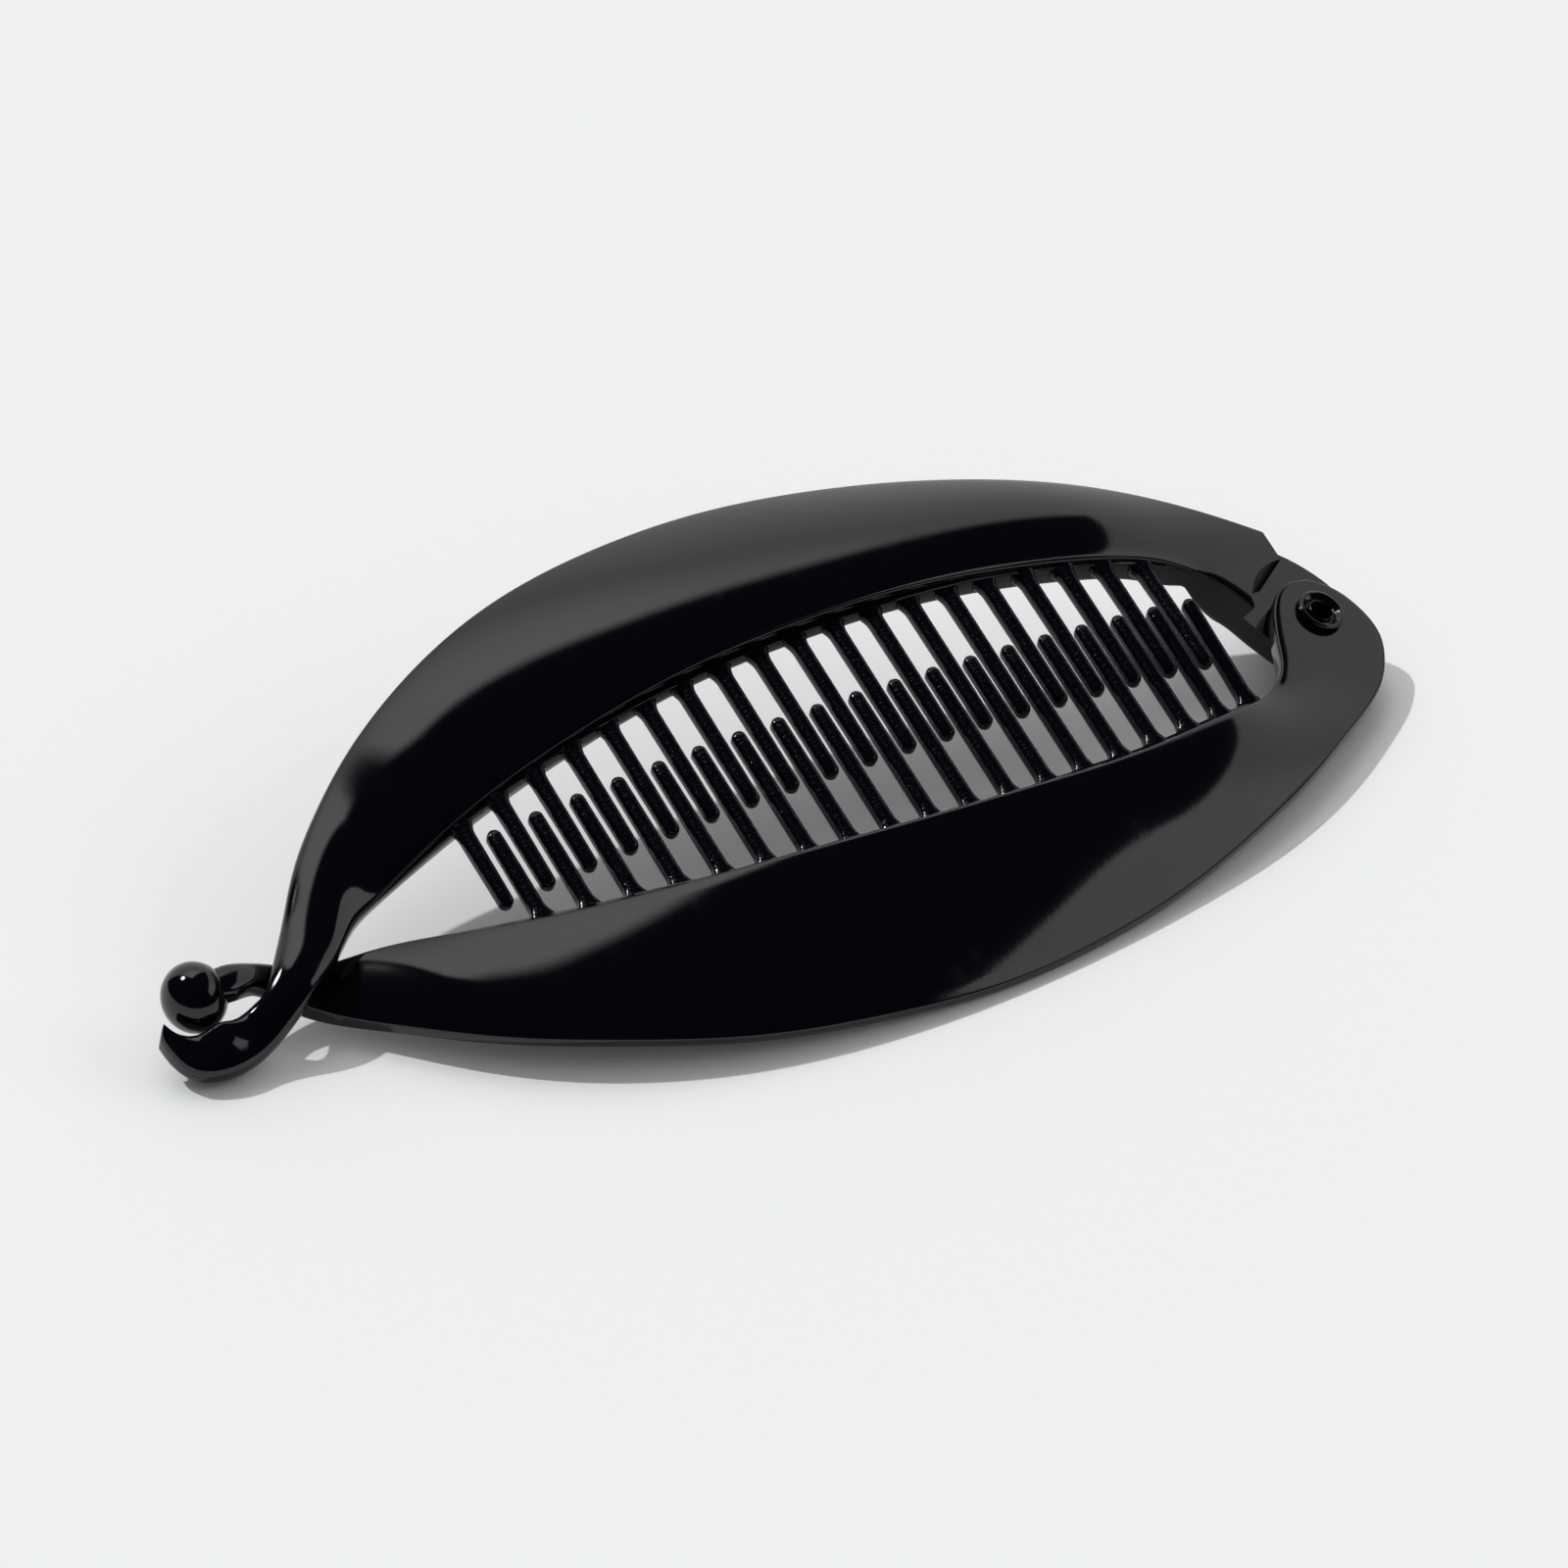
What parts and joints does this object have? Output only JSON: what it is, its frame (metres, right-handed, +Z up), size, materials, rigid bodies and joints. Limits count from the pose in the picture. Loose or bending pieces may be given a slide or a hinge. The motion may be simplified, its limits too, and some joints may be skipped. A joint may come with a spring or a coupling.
{
  "type": "banana hair clip",
  "caption": "Closed banana hair clip: two arched comb halves with interlocking teeth, a hollow hinge pin at one end and a hook over a ball knob at the other.",
  "frame": {"origin": "middle of the closed clip in plan, at the height of the surface that it lies on", "axes": "+X along the clip from the ball knob and hook to the hinge, +Y from the knob half to the hook half, +Z up from the surface that the clip lies on; the comb leans 20.8 degrees towards -Y"},
  "size_m": [0.1312, 0.0544, 0.0225],
  "materials": {
    "hook_half_plastic": "high gloss black moulded plastic",
    "knob_half_plastic": "high gloss black moulded plastic",
    "hinge_pin_plastic": "gloss black moulded plastic"
  },
  "bodies": {
    "hook_side": {"hook_half": "hook_half_plastic", "hinge_pin": "hinge_pin_plastic"},
    "knob_side": {"knob_half": "knob_half_plastic"}
  },
  "joints": [
    {"name": "hinge_swing", "type": "hinge", "parent": "hook_side", "child": "knob_side", "pos_m": [0.06026, 0.00129, 0.0076], "axis": [0.2198, -0.3464, 0.912], "range_deg": [0, 100]}
  ]
}
